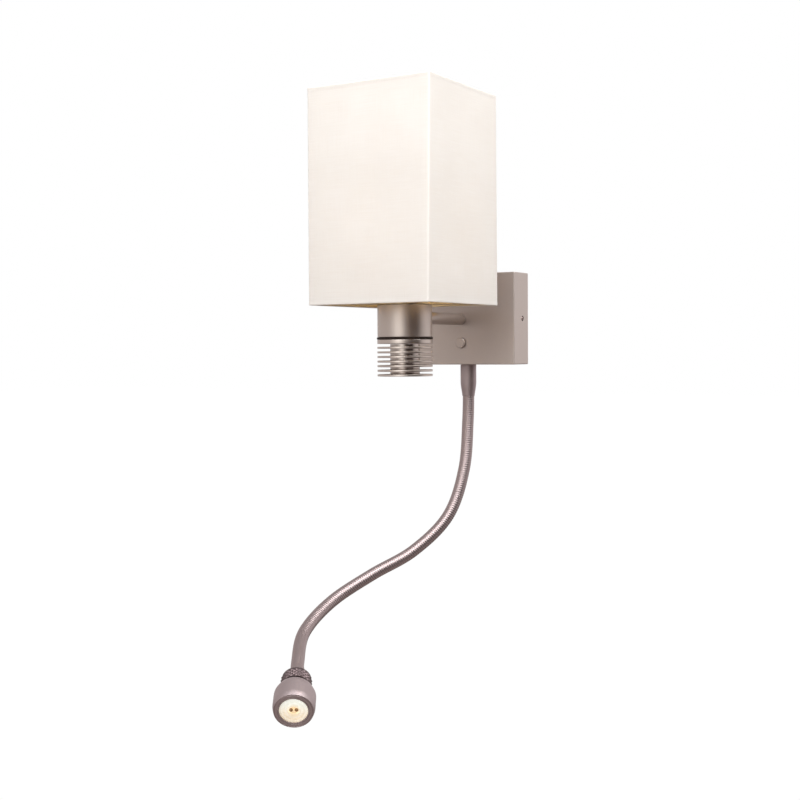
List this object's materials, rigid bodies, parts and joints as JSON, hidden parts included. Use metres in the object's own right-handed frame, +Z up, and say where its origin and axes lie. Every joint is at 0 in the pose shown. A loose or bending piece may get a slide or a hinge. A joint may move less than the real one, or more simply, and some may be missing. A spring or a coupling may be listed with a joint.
{
  "type": "wall lamp",
  "caption": "Wall lamp with a flat canopy, a short arm, a disc stack, a tall square fabric shade and a gooseneck reading light.",
  "frame": {"origin": "middle of the wall bracket's back face, in the plane of the wall", "axes": "+Y into the wall, so the lamp stands out towards -Y; +Z up; +X to the right as seen from the room"},
  "size_m": [0.148, 0.3151, 0.5631],
  "materials": {
    "satin_metal": "satin",
    "satin_aluminium": "satin",
    "neck_metal": "satin",
    "dark_aluminium": "satin",
    "dark_steel": "satin",
    "zinc_steel": "satin",
    "white_wire": "satin",
    "brass": "satin",
    "black_rubber": "matte",
    "black_plastic": "matte",
    "white_plastic": "satin",
    "red_plastic": "matte",
    "porcelain": "gloss",
    "opal_glass": "satin",
    "liner_film": "matte",
    "shade_fabric": "matte",
    "board": "satin",
    "led_chip": "gloss",
    "clear_optic": "gloss"
  },
  "bodies": {
    "root": {"canopy_cover": "satin_metal", "wall_bracket": "zinc_steel", "set_screw_left": "dark_steel", "set_screw_right": "dark_steel", "ground_screw": "brass", "led_driver": "white_plastic", "wire_nut_left": "red_plastic", "wire_nut_right": "red_plastic", "button_spring": "zinc_steel", "switch_body": "black_plastic", "arm_pipe": "zinc_steel", "arm_tube": "satin_metal", "arm_collar": "satin_metal", "arm_nut_canopy": "zinc_steel", "arm_nut_cup": "zinc_steel", "lamp_cup": "satin_metal", "gasket_ring": "black_rubber", "flange_plate": "satin_aluminium", "fin_post": "satin_aluminium", "fin_1": "satin_aluminium", "fin_2": "satin_aluminium", "fin_3": "satin_aluminium", "fin_4": "satin_aluminium", "fin_5": "satin_aluminium", "fin_6": "satin_aluminium", "fin_7": "satin_aluminium", "stack_screw": "zinc_steel", "lampholder": "porcelain", "bulb_base": "brass", "bulb_glass": "opal_glass", "shade_nut": "white_plastic", "shade_carrier": "brass", "shade_top_frame": "white_wire", "shade_liner": "liner_film", "shade_fabric": "shade_fabric", "inlet_fitting": "neck_metal", "inlet_washer": "zinc_steel", "inlet_nut": "zinc_steel", "neck_0": "neck_metal"},
    "button": {"push_button": "satin_metal"},
    "neck_link_1": {"neck_1": "neck_metal"},
    "neck_link_2": {"neck_2": "neck_metal"},
    "neck_link_3": {"neck_3": "neck_metal"},
    "neck_link_4": {"neck_4": "neck_metal"},
    "neck_link_5": {"neck_5": "neck_metal"},
    "neck_link_6": {"neck_6": "neck_metal"},
    "neck_link_7": {"neck_7": "neck_metal"},
    "reading_head": {"neck_8": "neck_metal", "grip_collar": "dark_aluminium", "head_body": "neck_metal", "head_board": "board", "led_left": "led_chip", "led_right": "led_chip", "head_optic": "clear_optic", "head_ring": "neck_metal"}
  },
  "joints": [
    {"name": "button_press", "type": "slide", "parent": "root", "child": "button", "axis": [0, 1, 0], "range_m": [0, 0.002], "stiffness_N_per_m": 400, "springref_m": -0.003, "deforming": ["button_spring"]},
    {"name": "neck_bend_1", "type": "hinge", "parent": "root", "child": "neck_link_1", "pos_m": [0.0005, -0.0185, -0.104], "axis": [-0.9921, -0.1253, 0], "range_deg": [-25, 25]},
    {"name": "neck_bend_2", "type": "hinge", "parent": "neck_link_1", "child": "neck_link_2", "pos_m": [0.0015, -0.0295, -0.153], "axis": [0.1906, 0.9274, -0.3219], "range_deg": [-25, 25]},
    {"name": "neck_bend_3", "type": "hinge", "parent": "neck_link_2", "child": "neck_link_3", "pos_m": [-0.006, -0.05, -0.1985], "axis": [-0.8642, 0.5032, 0], "range_deg": [-25, 25]},
    {"name": "neck_bend_4", "type": "hinge", "parent": "neck_link_3", "child": "neck_link_4", "pos_m": [-0.0285, -0.081, -0.2315], "axis": [0.314, 0.4388, -0.8419], "range_deg": [-25, 25]},
    {"name": "neck_bend_5", "type": "hinge", "parent": "neck_link_4", "child": "neck_link_5", "pos_m": [-0.055, -0.1185, -0.2525], "axis": [-0.8642, 0.5032, 0], "range_deg": [-25, 25]},
    {"name": "neck_bend_6", "type": "hinge", "parent": "neck_link_5", "child": "neck_link_6", "pos_m": [-0.0745, -0.16, -0.2735], "axis": [0.0913, 0.41, -0.9075], "range_deg": [-25, 25]},
    {"name": "neck_bend_7", "type": "hinge", "parent": "neck_link_6", "child": "neck_link_7", "pos_m": [-0.0745, -0.206, -0.294], "axis": [-0.9707, -0.2404, 0], "range_deg": [-25, 25]},
    {"name": "neck_bend_8", "type": "hinge", "parent": "neck_link_7", "child": "reading_head", "pos_m": [-0.0525, -0.2485, -0.311], "axis": [-0.1731, 0.2975, -0.9389], "range_deg": [-25, 25]}
  ]
}
